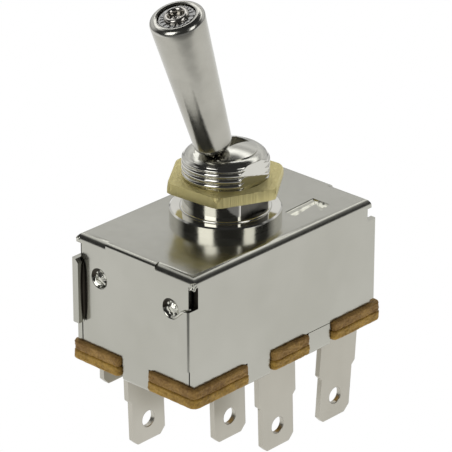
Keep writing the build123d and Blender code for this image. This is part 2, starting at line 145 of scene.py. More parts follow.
def gridFaces(rows, columns, wrapRows=False, wrapColumns=True, start=0):
    # one quad between each four neighbours of a grid whose points are numbered row by row
    r, c = np.meshgrid(np.arange(rows - (not wrapRows)), np.arange(columns - (not wrapColumns)), indexing="ij")
    r2, c2 = (r + 1) % rows, (c + 1) % columns
    quads = np.stack([r * columns + c, r * columns + c2, r2 * columns + c2, r2 * columns + c], -1)
    return (quads.reshape(-1, 4) + start).tolist()


def fan(ring, pole, upwards):
    # triangles from a ring of point numbers to one point
    pairs = zip(ring, ring[1:] + ring[:1])
    return [(a, b, pole) if upwards else (b, a, pole) for a, b in pairs]


def addPiece(name, points, faces, body, finish, angle=40.0):
    obj = addMesh(name, points, faces)
    bm = bmesh.new()
    bm.from_mesh(obj.data)
    softenEdges(bm, angle)
    bm.to_mesh(obj.data)
    bm.free()
    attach(obj, body)
    giveMaterial(obj, materials[finish])
    return obj


def turnOutward(obj):
    bm = bmesh.new()
    bm.from_mesh(obj.data)
    bmesh.ops.recalc_face_normals(bm, faces=bm.faces)
    bm.to_mesh(obj.data)
    bm.free()


def addLathe(name, rows, body, finish, wrapRows=True, poles=False, angle=40.0):
    # a surface round an axis: each row is one ring of points, rows running up its outside
    count, columns = rows.shape[0], rows.shape[1]
    points = rows.reshape(-1, 3)
    faces = gridFaces(count, columns, wrapRows)
    if poles:
        ends = np.stack([rows[0].mean(0), rows[-1].mean(0)])
        points = np.concatenate([points, ends])
        faces += fan(list(range(columns)), len(points) - 2, False)
        faces += fan(list(range((count - 1) * columns, count * columns)), len(points) - 1, True)
    return addPiece(name, points, faces, body, finish, angle)


def unevenness(shape, knots, seed):
    # smooth heights from -1 to 1: seeded random numbers on a coarse grid, blended by cosines; the first way wraps
    coarse = np.random.default_rng(seed).uniform(-1.0, 1.0, knots)
    coarse = np.concatenate([coarse, coarse[:1]])
    u = np.linspace(0, knots[0], shape[0], endpoint=False)
    v = np.linspace(0, knots[1] - 1, shape[1])
    i, j = u.astype(int), np.minimum(v.astype(int), knots[1] - 2)
    a, b = ((1 - np.cos(pi * (u - i))) / 2)[:, None], (1 - np.cos(pi * (v - j))) / 2
    low = coarse[i][:, j] * (1 - a) + coarse[i + 1][:, j] * a
    high = coarse[i][:, j + 1] * (1 - a) + coarse[i + 1][:, j + 1] * a
    return low * (1 - b) + high * b


def smoothStep(low, high, x):
    t = np.clip((x - low) / (high - low), 0.0, 1.0)
    return t * t * (3 - 2 * t)


def giveMaterial(obj, material):
    obj.data.materials.clear()
    obj.data.materials.append(material)


# Materials

def newMaterial(name):
    mat = bpy.data.materials.new(name)
    mat.use_nodes = True
    tree = mat.node_tree
    tree.nodes.clear()
    out = tree.nodes.new("ShaderNodeOutputMaterial")
    shader = tree.nodes.new("ShaderNodeBsdfPrincipled")
    tree.links.new(shader.outputs[0], out.inputs[0])
    return mat, tree, shader


def objectPlace(tree, scale=(1, 1, 1)):
    coord = tree.nodes.new("ShaderNodeTexCoord")
    mapping = tree.nodes.new("ShaderNodeMapping")
    mapping.inputs["Scale"].default_value = scale
    tree.links.new(coord.outputs["Object"], mapping.inputs["Vector"])
    return mapping.outputs["Vector"]


def noise(tree, place, scale, detail=4.0, roughness=0.55):
    n = tree.nodes.new("ShaderNodeTexNoise")
    n.inputs["Scale"].default_value = scale
    n.inputs["Detail"].default_value = detail
    n.inputs["Roughness"].default_value = roughness
    tree.links.new(place, n.inputs["Vector"])
    return n.outputs["Fac"]


def ramp(tree, value, stops):
    r = tree.nodes.new("ShaderNodeValToRGB")
    r.color_ramp.elements[0].position, r.color_ramp.elements[0].color = stops[0][0], (*stops[0][1], 1)
    r.color_ramp.elements[1].position, r.color_ramp.elements[1].color = stops[-1][0], (*stops[-1][1], 1)
    for position, color in stops[1:-1]:
        r.color_ramp.elements.new(position).color = (*color, 1)
    tree.links.new(value, r.inputs["Fac"])
    return r.outputs["Color"]


def span(tree, value, low, high):
    m = tree.nodes.new("ShaderNodeMapRange")
    m.inputs["To Min"].default_value = low
    m.inputs["To Max"].default_value = high
    tree.links.new(value, m.inputs["Value"])
    return m.outputs["Result"]


def blend(tree, first, second, share):
    m = tree.nodes.new("ShaderNodeMix")
    m.inputs["Factor"].default_value = share
    tree.links.new(first, m.inputs["A"])
    tree.links.new(second, m.inputs["B"])
    return m.outputs["Result"]


def addBump(tree, shader, heights):
    # heights: (value, distance in metres, strength), one bump on top of the other
    last = None
    for value, distance, strength in heights:
        b = tree.nodes.new("ShaderNodeBump")
        b.inputs["Distance"].default_value = distance
        b.inputs["Strength"].default_value = strength
        tree.links.new(value, b.inputs["Height"])
        if last is not None:
            tree.links.new(last, b.inputs["Normal"])
        last = b.outputs["Normal"]
    tree.links.new(last, shader.inputs["Normal"])


def metal(name, light, dark, rough, grainScale, grainStretch, bump, patches=60.0):
    # a plated or bare metal: faint patches of tone, fine drawn grain, and a shallow unevenness
    mat, tree, shader = newMaterial(name)
    shader.inputs["Metallic"].default_value = 1.0
    place = objectPlace(tree)
    cloud = noise(tree, place, patches, 3.0)
    grainPlace = objectPlace(tree, scale=grainStretch)
    grain = noise(tree, grainPlace, grainScale, 2.0)
    tree.links.new(ramp(tree, cloud, [(0.3, dark), (0.7, light)]), shader.inputs["Base Color"])
    tree.links.new(span(tree, grain, rough[0], rough[1]), shader.inputs["Roughness"])
    addBump(tree, shader, [(cloud, bump[0], 1.0), (grain, bump[1], 1.0)])
    return mat


def makeMaterials():
    m = {}
    m["case"] = metal("nickelSheet", (0.47, 0.465, 0.415), (0.42, 0.415, 0.365), (0.15, 0.25), 900.0, (1, 1, 0.25),
                      (0.00008, 0.000004), patches=70.0)
    m["stake"] = metal("pressedNickel", (0.60, 0.595, 0.53), (0.46, 0.455, 0.39), (0.05, 0.12), 900.0, (1, 1, 1),
                       (0.00002, 0.000004))
    m["pressed"] = metal("pressedMark", (0.56, 0.555, 0.49), (0.44, 0.435, 0.37), (0.12, 0.24), 900.0, (1, 1, 1),
                         (0.00003, 0.000006), patches=150.0)
    # a near-black metal: painted shade, used in the corner slots, on the stakes' upper walls and in the gap beside the
    # far tab
    m["paintedShade"] = metal("paintedShadeMetal", (0.055, 0.048, 0.038), (0.02, 0.018, 0.014), (0.35, 0.55), 1600.0, (1, 1, 4),
                         (0.00002, 0.00001))
    m["bushing"] = metal("polishedNickel", (0.66, 0.65, 0.60), (0.60, 0.59, 0.54), (0.06, 0.12), 900.0, (1, 1, 6),
                         (0.00001, 0.000003))
    m["crown"] = metal("handledNickel", (0.64, 0.635, 0.58), (0.52, 0.51, 0.46), (0.10, 0.27), 700.0, (1, 1, 5),
                       (0.00003, 0.000006))
    # a dark dull metal: painted shade on the lower part of the bushing's flat, under the nut
    m["flatShade"] = metal("paintedFlatShade", (0.15, 0.145, 0.13), (0.08, 0.075, 0.065), (0.20, 0.42), 900.0, (6, 1, 1),
                        (0.00002, 0.00002))
    m["sleeve"] = metal("satinNickel", (0.45, 0.44, 0.39), (0.38, 0.37, 0.325), (0.15, 0.25), 1200.0, (1, 1, 0.3),
                        (0.00006, 0.000004), patches=160.0)
    m["rim"] = metal("polishedRim", (0.54, 0.535, 0.49), (0.46, 0.45, 0.41), (0.14, 0.24), 900.0, (1, 1, 1),
                     (0.00002, 0.000004))
    m["rod"] = metal("rodNickel", (0.55, 0.53, 0.49), (0.46, 0.44, 0.40), (0.10, 0.20), 1200.0, (1, 1, 4),
                     (0.00002, 0.000005))
    m["nut"] = metal("turnedBrass", (0.80, 0.715, 0.37), (0.68, 0.60, 0.28), (0.42, 0.64), 900.0, (3, 3, 0.12),
                     (0.00002, 0.00012))
    m["blade"] = metal("dullPlate", (0.50, 0.48, 0.42), (0.44, 0.42, 0.36), (0.28, 0.40), 900.0, (1, 1, 0.2),
                       (0.00004, 0.000006))
    m["pin"] = metal("groundSteel", (0.42, 0.42, 0.41), (0.36, 0.36, 0.35), (0.20, 0.32), 1500.0, (1, 1, 1),
                     (0.00001, 0.000004))
    m["spring"] = metal("drawnWire", (0.36, 0.36, 0.36), (0.28, 0.28, 0.28), (0.25, 0.38), 1500.0, (1, 1, 1),
                        (0.00001, 0.000004))
    m["bar"] = metal("copperBar", (0.66, 0.36, 0.22), (0.50, 0.26, 0.15), (0.28, 0.42), 900.0, (1, 1, 1),
                     (0.00002, 0.000006))
    m["silver"] = metal("contactSilver", (0.78, 0.77, 0.74), (0.66, 0.65, 0.62), (0.22, 0.34), 900.0, (1, 1, 1),
                        (0.00002, 0.000006))
    m["darkBoard"] = board("darkPhenolic", (0.43, 0.26, 0.075), (0.19, 0.10, 0.028), 0.55)
    m["lightBoard"] = board("lightPhenolic", (0.52, 0.32, 0.065), (0.26, 0.145, 0.028), 0.50)
    m["resin"] = board("cradleResin", (0.05, 0.035, 0.03), (0.03, 0.02, 0.018), 0.45)
    return m


def board(name, light, dark, rough):
    # punched insulating board: mottled resin with a fibrous, torn edge
    mat, tree, shader = newMaterial(name)
    place = objectPlace(tree)
    patch = noise(tree, place, 420.0, 3.0, 0.6)
    grit = noise(tree, place, 3000.0, 3.0, 0.7)
    mottle = blend(tree, patch, grit, 0.5)
    fibre = noise(tree, objectPlace(tree, scale=(1, 1, 2)), 1500.0, 4.0, 0.6)
    tree.links.new(ramp(tree, mottle, [(0.38, dark), (0.62, light)]), shader.inputs["Base Color"])
    tree.links.new(span(tree, fibre, rough - 0.12, rough + 0.15), shader.inputs["Roughness"])
    shader.inputs["Specular IOR Level"].default_value = 0.22
    addBump(tree, shader, [(mottle, 0.00012, 1.0), (fibre, 0.00006, 1.0)])
    return mat


materials = makeMaterials()
print("materials made")


# Solids that keep their form, with their rounds shaded smooth

skins = {
    "case": ("housing", "case_steel", "case"),
    "tip_washer": ("lever", "pin_steel", "pin"),
    "terminal_a": ("housing", "blade_plate", "blade"),
    "terminal_b": ("housing", "blade_plate", "blade"),
    "terminal_c": ("housing", "blade_plate", "blade"),
    "terminal_d": ("housing", "blade_plate", "blade"),
    "terminal_e": ("housing", "blade_plate", "blade"),
}

plain = {
    "pivot_pin": "pin", "cradle_axle": "pin", "sleeve_spring": "spring", "plunger_spring": "spring", "plunger": "pin",
    "cradle": "resin", "bridge_near": "bar", "bridge_far": "bar", "bridge_rivets": "bar",
    "moving_contact_b": "silver", "moving_contact_d": "silver", "moving_contact_e": "silver",
    "fixed_contact_a": "silver", "fixed_contact_b": "silver", "fixed_contact_c": "silver",
    "fixed_contact_d": "silver", "fixed_contact_e": "silver",
}

wear = {"width": 0.10, "segments": 2, "sharperThan": 40.0}


def wearEdges(obj, w):
    bevel = obj.modifiers.new("wornEdges", "BEVEL")
    bevel.width = w["width"] * mm
    bevel.segments = w["segments"]
    bevel.limit_method = "ANGLE"
    bevel.angle_limit = radians(w["sharperThan"])


for name, (body, slot, finish) in skins.items():
    skin = roundedCopy(name, body)
    giveMaterial(skin, materials[finish])
    if name.startswith("terminal"):
        wearEdges(skin, wear)
for name, finish in plain.items():
    giveMaterial(nodes[name], materials[finish])
print("solids dressed")


# Base: two punched plates with rough, rounded edges, notched for the tabs, and the two lugs for the axle

plates = {
    "halfWidth": 11.7, "left": -18.5, "right": 19.7,
    "cornerRound": 1.2, "notchRound": 0.7, "notchFoot": 0.25,
    "sideNotches": (-5.1, 7.2), "sideNotchHalf": 2.35, "sideNotchY": 10.0,
    "endNotchHalf": 2.55, "endNotchX": 16.8,
    "step": 0.14, "rows": 13, "ledge": 0.5, "coarseShare": 0.65, "fineShare": 0.35, "wave": 0.06, "lift": 0.03,
    "upper": {"z": (-18.95, -17.55), "rounds": (0.22, 0.22), "rough": 0.20, "set": 0.06, "seed": 5},
    "lower": {"z": (-20.35, -18.95), "rounds": (0.30, 0.16), "rough": 0.17, "set": 0.0, "seed": 11},
    "lug": {"half": 1.5, "hole": 0.8, "y": (4.0, 5.0), "z": -12.8, "foot": -17.7, "columns": 48},
}


def plateCorners(p):
    # corners of the outline, anticlockwise from above, each with its radius
    y, w, n = p["halfWidth"], p["sideNotchHalf"], p["notchRound"]
    corners = [(p["left"], -y, p["cornerRound"])]
    for x in p["sideNotches"]:
        corners += [(x - w, -y, n), (x - w, -p["sideNotchY"], p["notchFoot"]),
                    (x + w, -p["sideNotchY"], p["notchFoot"]), (x + w, -y, n)]
    corners += [(p["right"], -y, p["cornerRound"])]
    h, e = p["endNotchHalf"], p["endNotchX"]
    corners += [(p["right"], -h, n), (e, -h, p["notchFoot"]), (e, h, p["notchFoot"]), (p["right"], h, n)]
    half = corners + [(p["right"], y, p["cornerRound"])]
    for x in reversed(p["sideNotches"]):
        half += [(x + w, y, n), (x + w, p["sideNotchY"], p["notchFoot"]),
                 (x - w, p["sideNotchY"], p["notchFoot"]), (x - w, y, n)]
    half += [(p["left"], y, p["cornerRound"]), (p["left"], h, n), (-e, h, p["notchFoot"]),
             (-e, -h, p["notchFoot"]), (p["left"], -h, n)]
    return np.array(half)


def roundedRoute(corners, step):
    # arcs that touch both sides of each corner, joined by straight runs and read off at even steps
    here = corners[:, :2]
    back = np.roll(here, 1, 0) - here
    ahead = np.roll(here, -1, 0) - here
    back /= np.linalg.norm(back, axis=1)[:, None]
    ahead /= np.linalg.norm(ahead, axis=1)[:, None]
    r = corners[:, 2:3]
    share = np.linspace(0, pi / 2, 9)[None, :, None]
    middle = here + (back + ahead) * r
    arcs = middle[:, None] - ahead[:, None] * r[:, None] * np.cos(share) - back[:, None] * r[:, None] * np.sin(share)
    route = arcs.reshape(-1, 2)
    route = np.concatenate([route, route[:1]])
    length = np.concatenate([[0], np.cumsum(np.linalg.norm(np.diff(route, axis=0), axis=1))])
    even = np.linspace(0, length[-1], int(length[-1] / step), endpoint=False)
    line = np.stack([np.interp(even, length, route[:, 0]), np.interp(even, length, route[:, 1])], 1)
    along = np.roll(line, -1, 0) - np.roll(line, 1, 0)
    along /= np.linalg.norm(along, axis=1)[:, None]
    return line, np.stack([along[:, 1], -along[:, 0]], 1)


def addPlate(name, node, finish, p, q, extra=None):
    # the outline carried up through the thickness: set in by the edge's rounds and by the torn fibres
    line, out = roundedRoute(plateCorners(p), p["step"])
    low, high = q["z"]
    t = np.linspace(0, 1, p["rows"])
    z = low + (high - low) * t
    foot, brim = q["rounds"]
    near = np.maximum(1 - (z - low) / foot, 0), np.maximum(1 - (high - z) / brim, 0)
    inset = foot * (1 - np.sqrt(1 - near[0] ** 2)) + brim * (1 - np.sqrt(1 - near[1] ** 2)) + q["set"]
    n = len(line)
    torn = 0.5 + 0.5 * unevenness((n, p["rows"]), (n // 5, 7), q["seed"])
    fine = 0.5 + 0.5 * unevenness((n, p["rows"]), (n // 2, 9), q["seed"] + 1)
    depth = inset[None] + q["rough"] * (p["coarseShare"] * torn + p["fineShare"] * fine)
    wave = p["wave"] * unevenness((n, 2), (n // 8, 2), q["seed"] + 2)
    walls = np.empty((p["rows"] + 2, n, 3))
    walls[1:-1, :, :2] = (line[:, None] - out[:, None] * depth[..., None]).transpose(1, 0, 2)
    walls[1:-1, :, 2] = z[:, None]
    for row, edge, lift in ((0, 1, 0), (-1, -2, 1)):
        walls[row, :, :2] = walls[edge, :, :2] - out * p["ledge"]
        walls[row, :, 2] = walls[edge, :, 2] + (p["lift"] - abs(wave[:, lift])) * (1 if row == 0 else -1)
    points = walls.reshape(-1, 3) * mm
    rows = len(walls)
    faces = gridFaces(rows, n)
    faces += [list(range(n))[::-1], list(range((rows - 1) * n, rows * n))]
    if extra:
        more, quads = extra(len(points))
        points, faces = np.concatenate([points, more]), faces + quads
    obj = addPiece(name, points, faces, "housing", finish, 60.0)
    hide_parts(node)


def lugs(start):
    # a ring of four rows round the axle's hole: inner and outer line, on the two faces of each lug
    g = plates["lug"]
    count = g["columns"]
    a = np.linspace(0, 2 * pi, count, endpoint=False)
    drop = g["z"] - g["foot"]
    stretch = np.minimum(1 / np.maximum(abs(np.cos(a)), 1e-6), drop / g["half"] / np.maximum(-np.sin(a), 1e-6))
    reach = g["half"] * np.where(np.sin(a) < 0, stretch, 1.0)
    points, faces = [], []
    for side in (-1, 1):
        y0, y1 = g["y"]
        ring = [(g["hole"], y0), (g["hole"], y1), (reach, y1), (reach, y0)]
        rows = np.stack([np.stack([r * np.cos(a), np.full(count, side * y), g["z"] + r * np.sin(a)], 1)
                         for r, y in ring])
        quads = np.array(gridFaces(len(ring), count, wrapRows=True, start=start))
        faces += (quads if side < 0 else quads[:, ::-1]).tolist()
        points.append(rows.reshape(-1, 3))
        start += len(ring) * count
    return np.concatenate(points) * mm, faces


addPlate("upperPlate", "base_upper", "darkBoard", plates, plates["upper"], lugs)
addPlate("lowerPlate", "base_lower", "lightBoard", plates, plates["lower"])
print("base plates made")


# Bushing: the solid with its ring grooves drawn in, under a helical thread with rounded crests

thread = {
    "crest": 6.0, "depth": 0.32, "pitch": 0.794, "low": 3.95, "high": 7.8, "flat": 5.305, "core": 5.2,
    "fadeLow": 4.2, "fadeHigh": (7.25, 7.6), "start": 0.25, "columns": 192, "rows": 160, "round": 0.95,
    "shoulder": {"z": 6.7, "middle": 4.3, "round": 1.6}, "proud": 0.12, "cover": 0.015,
    "drawFrom": 3.0, "drawTo": 7.45, "crownOverlap": 0.1,
    # the part of the flat under the nut that takes the painted shade
    "flatShade": {"low": 0.0, "high": 3.9, "y": -4.9, "facing": -0.98},
    "bead": {"inner": 5.85, "outer": 6.3, "height": 0.24, "columns": 160},
}


def drawnIn(points):
    # every point of the ring grooves goes in to the core; the neck, collar and crown stay
    reach = np.hypot(points[:, 0], points[:, 1])
    inside = (points[:, 2] > thread["drawFrom"] * mm) & (points[:, 2] < thread["drawTo"] * mm)
    inside &= reach > thread["core"] * mm
    share = np.where(inside, thread["core"] * mm / np.maximum(reach, 1e-9), 1.0)
    points[:, :2] *= share[:, None]
    return points


def addThread(s):
    # half-round beads side by side along height less the helix's rise, with y cut off at the flat
    a = np.linspace(0, 2 * pi, s["columns"], endpoint=False)[None]
    z = np.linspace(s["low"], s["high"], s["rows"])[:, None]
    phase = (z - s["start"]) / s["pitch"] - a / (2 * pi)
    bulge = np.sqrt(1 - s["round"] * (2 * np.mod(phase, 1.0) - 1) ** 2)
    groove = (1 - bulge) / (1 - (1 - s["round"]) ** 0.5)
    fade = smoothStep(s["low"], s["fadeLow"], z) * (1 - smoothStep(*s["fadeHigh"], z))
    h = s["shoulder"]
    over = h["middle"] + np.sqrt(h["round"] ** 2 - np.maximum(z - h["z"], 0) ** 2)
    top = np.minimum(s["crest"], over + s["cover"] + s["proud"] * (1 - smoothStep(*s["fadeHigh"], z)))
    radius = top - s["depth"] * groove * fade
    radius = np.concatenate([np.full_like(radius[:1], s["core"]), radius, np.full_like(radius[:1], s["core"])])
    z = np.concatenate([[[s["low"]]], z, [[s["high"]]]]) + 0 * a
    x, y = radius * np.cos(a), np.maximum(radius * np.sin(a), -s["flat"])
    return addLathe("helicalThread", np.stack([x, y, z], -1) * mm, "housing", "bushing", angle=60.0)


def addBead(s):
    # a low rounded ring where the neck meets the collar
    a = np.linspace(0, 2 * pi, s["columns"], endpoint=False)[None]
    turn = np.linspace(0, pi / 2, 7)[:, None]
    middle = s["outer"] - s["height"]
    r = np.concatenate([[[s["inner"]]], middle + s["height"] * np.cos(turn), [[s["inner"]]]]) + 0 * a
    z = np.concatenate([[[0.0]], s["height"] * np.sin(turn), [[s["height"]]]]) + 0 * a
    points = np.stack([r * np.cos(a), np.maximum(r * np.sin(a), -s["outer"]), z], -1) * mm
    return addLathe("neckBead", points, "housing", "bushing", angle=50.0)


def finishBushing(skin):
    # the crown is duller than the neck, and the lower part of the flat, under the nut, gets painted shade
    mesh = skin.data
    giveMaterial(skin, materials["bushing"])
    mesh.materials.append(materials["crown"])
    mesh.materials.append(materials["flatShade"])
    count = len(mesh.polygons)
    centre, normal = np.empty(count * 3, dtype=np.float32), np.empty(count * 3, dtype=np.float32)
    mesh.polygons.foreach_get("center", centre)
    mesh.polygons.foreach_get("normal", normal)
    z, y, n = centre[2::3] / mm, centre[1::3] / mm, normal[1::3]
    kind = np.where(z > thread["drawTo"] - thread["crownOverlap"], 1, 0)
    flat = thread["flatShade"]
    # painted shade on the flat below the nut
    kind[(z < flat["high"]) & (z > flat["low"]) & (n < flat["facing"]) & (y < flat["y"])] = 2
    mesh.polygons.foreach_set("material_index", kind.astype(np.int32))


finishBushing(roundedCopy("bushing", "housing", reshape=drawnIn))
addThread(thread)
addBead(thread["bead"])
print("bushing threaded")


# Nut: six sides with a turned chamfer that only bites at the corners

nut = {"flats": 14.7, "bore": 5.5, "low": 3.05, "high": 4.6, "turn": -25.0, "chamferFrom": 8.12, "slope": 1.9,
       "foot": 0.3, "mouth": 0.3, "edge": 0.09, "columns": 240}


def addNut(s):
    # distance to the side is the half width over the cosine of the angle from its middle
    a = radians(s["turn"]) + np.linspace(0, 2 * pi, s["columns"], endpoint=False)
    fromMiddle = np.mod(a - radians(s["turn"]), pi / 3) - pi / 6
    side = s["flats"] / 2 / np.cos(fromMiddle)
    top = s["high"] - np.maximum(side - s["chamferFrom"], 0) * s["slope"]
    foot = s["low"] + np.maximum(side - s["chamferFrom"], 0) * s["foot"]
    e = s["edge"]
    flatEnd = np.minimum(side - e, s["chamferFrom"])
    rings = [(s["bore"], s["low"]), (flatEnd, s["low"]), (side - e, foot), (side - e / 4, foot + e / 4),
             (side, foot + e), (side, top - e), (side - e / 4, top - e / 4), (side - e, top),
             (flatEnd, s["high"]), (s["bore"] + s["mouth"], s["high"]), (s["bore"], s["high"] - s["mouth"])]
    rows = np.stack([np.stack([r * np.cos(a), r * np.sin(a), z + 0 * a], 1) for r, z in rings])
    obj = addLathe("panelNut", rows * mm, "housing", "nut", angle=24.0)
    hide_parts("hex_nut")


addNut(nut)
print("nut made")


# Lever: a conical sleeve with a broad rounded rim, over the rod's peened head and its wavy washer

lever = {
    "pivot": 2.7, "lean": 19.0,
    "sleeve": {"nose": 6.907, "top": 28.95, "foot": 2.65, "head": 3.75, "noseRound": 1.2, "rimWide": 0.90,
               "rimHigh": 0.80, "lip": 0.10, "bores": [(2.65, 25.55), (1.95, 11.007), (1.2, 6.907)], "columns": 160},
    "rod": {"cutAt": 28.35, "core": 1.0, "squash": 0.02},
    "head": {"reach": 1.72, "foot": 28.3, "sides": 0.45, "crest": 29.25, "crestAt": 1.34, "pit": 1.0, "pitFloor": 28.62,
             "columns": 96, "beaten": 0.02, "beatenPit": 0.07, "seed": 71},
    "washer": {"inner": 1.5, "outer": 2.5, "foot": 28.5, "rise": 0.20, "waves": 19, "waveHigh": 0.05, "columns": 190},
}


def leaned(points):
    # turns upright points about the pivot into the locked position
    a = radians(lever["lean"])
    x, y, z = points[..., 0], points[..., 1], points[..., 2]
    return np.stack([x * cos(a) - z * sin(a), y, x * sin(a) + z * cos(a) + lever["pivot"]], -1) * mm


def upright(points):
    a = radians(lever["lean"])
    x, y, z = points[:, 0] / mm, points[:, 1] / mm, points[:, 2] / mm - lever["pivot"]
    return np.stack([x * cos(a) + z * sin(a), y, z * cos(a) - x * sin(a)], 1)


def ringRows(outline, columns, change=None):
    # a ring of points for each radius and height of an outline, changed by a function of the angle
    a = np.linspace(0, 2 * pi, columns, endpoint=False)
    r = np.array([p[0] for p in outline])[:, None] + 0 * a
    z = np.array([p[1] for p in outline])[:, None] + 0 * a
    if change:
        r, z = change(r, z, a[None])
    return np.stack([r * np.cos(a), r * np.sin(a), z], -1)


def sleeveOutline(s):
    # nose arc, straight cone, a quarter of an ellipse over the rim, and back down the bores
    q = np.linspace(0, pi / 2, 9)
    nose = [(s["foot"] - s["noseRound"] * (1 - sin(t)), s["nose"] + s["noseRound"] * (1 - cos(t))) for t in q]
    share = np.linspace(0, 1, 24)[1:]
    low, high = s["nose"] + s["noseRound"], s["top"] - s["rimHigh"]
    cone = [(s["foot"] + (s["head"] - s["foot"]) * t, low + (high - low) * t) for t in share]
    rim = [(s["head"] - s["rimWide"] * (1 - cos(t)), high + s["rimHigh"] * sin(t)) for t in q[1:]]
    inside = [(s["bores"][0][0], s["top"] - s["lip"])]
    for k, (bore, depth) in enumerate(s["bores"]):
        if k:
            inside.append((bore, s["bores"][k - 1][1]))
        inside.append((bore, depth))
    return nose + cone + rim + inside


def cutBack(points):
    # the rod's head is drawn in and down, under the peened cap
    s = lever["rod"]
    p = upright(points)
    head = p[:, 2] > s["cutAt"]
    reach = np.hypot(p[:, 0], p[:, 1])
    share = np.where(head, s["core"] / np.maximum(reach, s["core"]), 1.0)
    p[:, :2] *= share[:, None]
    p[:, 2] = np.where(head, s["cutAt"] + s["squash"] * (p[:, 2] - s["cutAt"]), p[:, 2])
    return leaned(p)


def addHead(s):
    # a rounded bead with an uneven pit: half an ellipse outside the crest, a steeper half inside it
    q = np.linspace(0, pi / 2, 10)
    shoulder = s["foot"] + s["sides"]
    out = [(s["crestAt"] + (s["reach"] - s["crestAt"]) * cos(t), shoulder + (s["crest"] - shoulder) * sin(t))
           for t in q]
    deep = s["crest"] - s["pitFloor"]
    dip = [(s["pit"] + (s["crestAt"] - s["pit"]) * (1 - sin(t)), s["crest"] - deep * (1 - cos(t))) for t in q[1:]]
    floor = [(s["pit"] * k, s["pitFloor"]) for k in (0.85, 0.65, 0.45, 0.25, 0.1)]

    def beaten(r, z, a):
        bumps = unevenness((s["columns"], r.shape[0]), (9, 7), s["seed"]).T
        pit = np.clip((s["crestAt"] - r) / s["crestAt"], 0, 1)
        return r * (1 + s["beaten"] * bumps), z + s["beatenPit"] * bumps * pit + s["beaten"] * bumps

    foot = [(s["reach"] - 0.05, s["foot"]), (s["reach"], s["foot"] + 0.1)]
    rows = ringRows(foot + out + dip + floor, s["columns"], beaten)
    addLathe("rodHead", leaned(rows), "lever", "rod", wrapRows=False, poles=True, angle=70.0)


def addWasher(s):
    # a flat ring whose upper face rises in small waves round it
    def waved(r, z, a):
        crest = (z > s["foot"] + 0.02) * (0.5 + 0.5 * np.cos(s["waves"] * a + 1.5 * np.sin(3 * a)))
        return r, z + s["waveHigh"] * crest * (r > s["inner"] + 0.05) * (r < s["outer"] - 0.05)

    low, high = s["foot"], s["foot"] + s["rise"]
    line = [(s["inner"], low), (s["outer"] - 0.03, low), (s["outer"], low + 0.03), (s["outer"], high - 0.05),
            (s["outer"] - 0.05, high)]
    line += [(r, high) for r in np.linspace(s["outer"] - 0.2, s["inner"] + 0.15, 6)] + [(s["inner"], high - 0.05)]
    addLathe("washerFace", leaned(ringRows(line, s["columns"], waved)), "lever", "pin", angle=60.0)


def addSleeve(s):
    # faces above the foot of the rim get its brighter finish
    rows = leaned(ringRows(sleeveOutline(s), s["columns"]))
    obj = addLathe("leverSleeve", rows, "sleeve", "sleeve", angle=35.0)
    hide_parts("lever_sleeve")
    obj.data.materials.append(materials["rim"])
    centre = np.empty(len(obj.data.polygons) * 3, dtype=np.float32)
    obj.data.polygons.foreach_get("center", centre)
    above = upright(centre.reshape(-1, 3).astype(float))[:, 2] > s["top"] - s["rimHigh"]
    obj.data.polygons.foreach_set("material_index", above.astype(np.int32))


addSleeve(lever["sleeve"])
giveMaterial(roundedCopy("lever_rod", "lever", reshape=cutBack), materials["rod"])
addHead(lever["head"])
addWasher(lever["washer"])
print("lever made")


# Case details: painted shade in the corner slots and beside the far tab, pressed stakes, crumples, a curled tab, and
# the hook in the top

caseEnds = {
    "slotX": (16.85, 17.75), "slotY": (9.85, 10.95), "slotTop": 1.35, "slotFoot": 4.6, "end": 17.7, "side": 10.88,
    "stakeY": 6.65, "stakeDrop": 5.6, "stakeReach": 1.47, "stakeDeep": 0.38, "stakeCrest": 0.06, "stakeFold": 0.08,
    "stakeRough": 0.03, "stakeBack": 0.445, "stakeBackReach": 1.19, "wallFrom": 0.70, "wallAbove": 0.45,
    "columns": 64, "rings": 22,
}


def darkenSlots(skin, s):
    # faces inside the open corner columns get a near-black finish: painted shade for the dark opening into the case
    mesh = skin.data
    mesh.materials.append(materials["paintedShade"])
    count = len(mesh.polygons)
    centre, normal = np.empty(count * 3, dtype=np.float32), np.empty(count * 3, dtype=np.float32)
    mesh.polygons.foreach_get("center", centre)
    mesh.polygons.foreach_get("normal", normal)
    c, n = centre.reshape(-1, 3) / mm, normal.reshape(-1, 3)
    across = (abs(c[:, 0]) > s["slotX"][0]) & (abs(c[:, 0]) < s["slotX"][1]) & (abs(c[:, 1]) > s["slotY"][0])
    across &= (abs(c[:, 1]) < s["slotY"][1]) & (abs(n[:, 2]) < 0.3)
    high = (c[:, 2] < caseTop / mm - s["slotTop"]) & (c[:, 2] > caseTop / mm - s["slotFoot"])
    inner = (abs(c[:, 0]) < s["end"] - 0.02) & (abs(c[:, 1]) < s["side"])
    mesh.polygons.foreach_set("material_index", (across & high & inner).astype(np.int32))


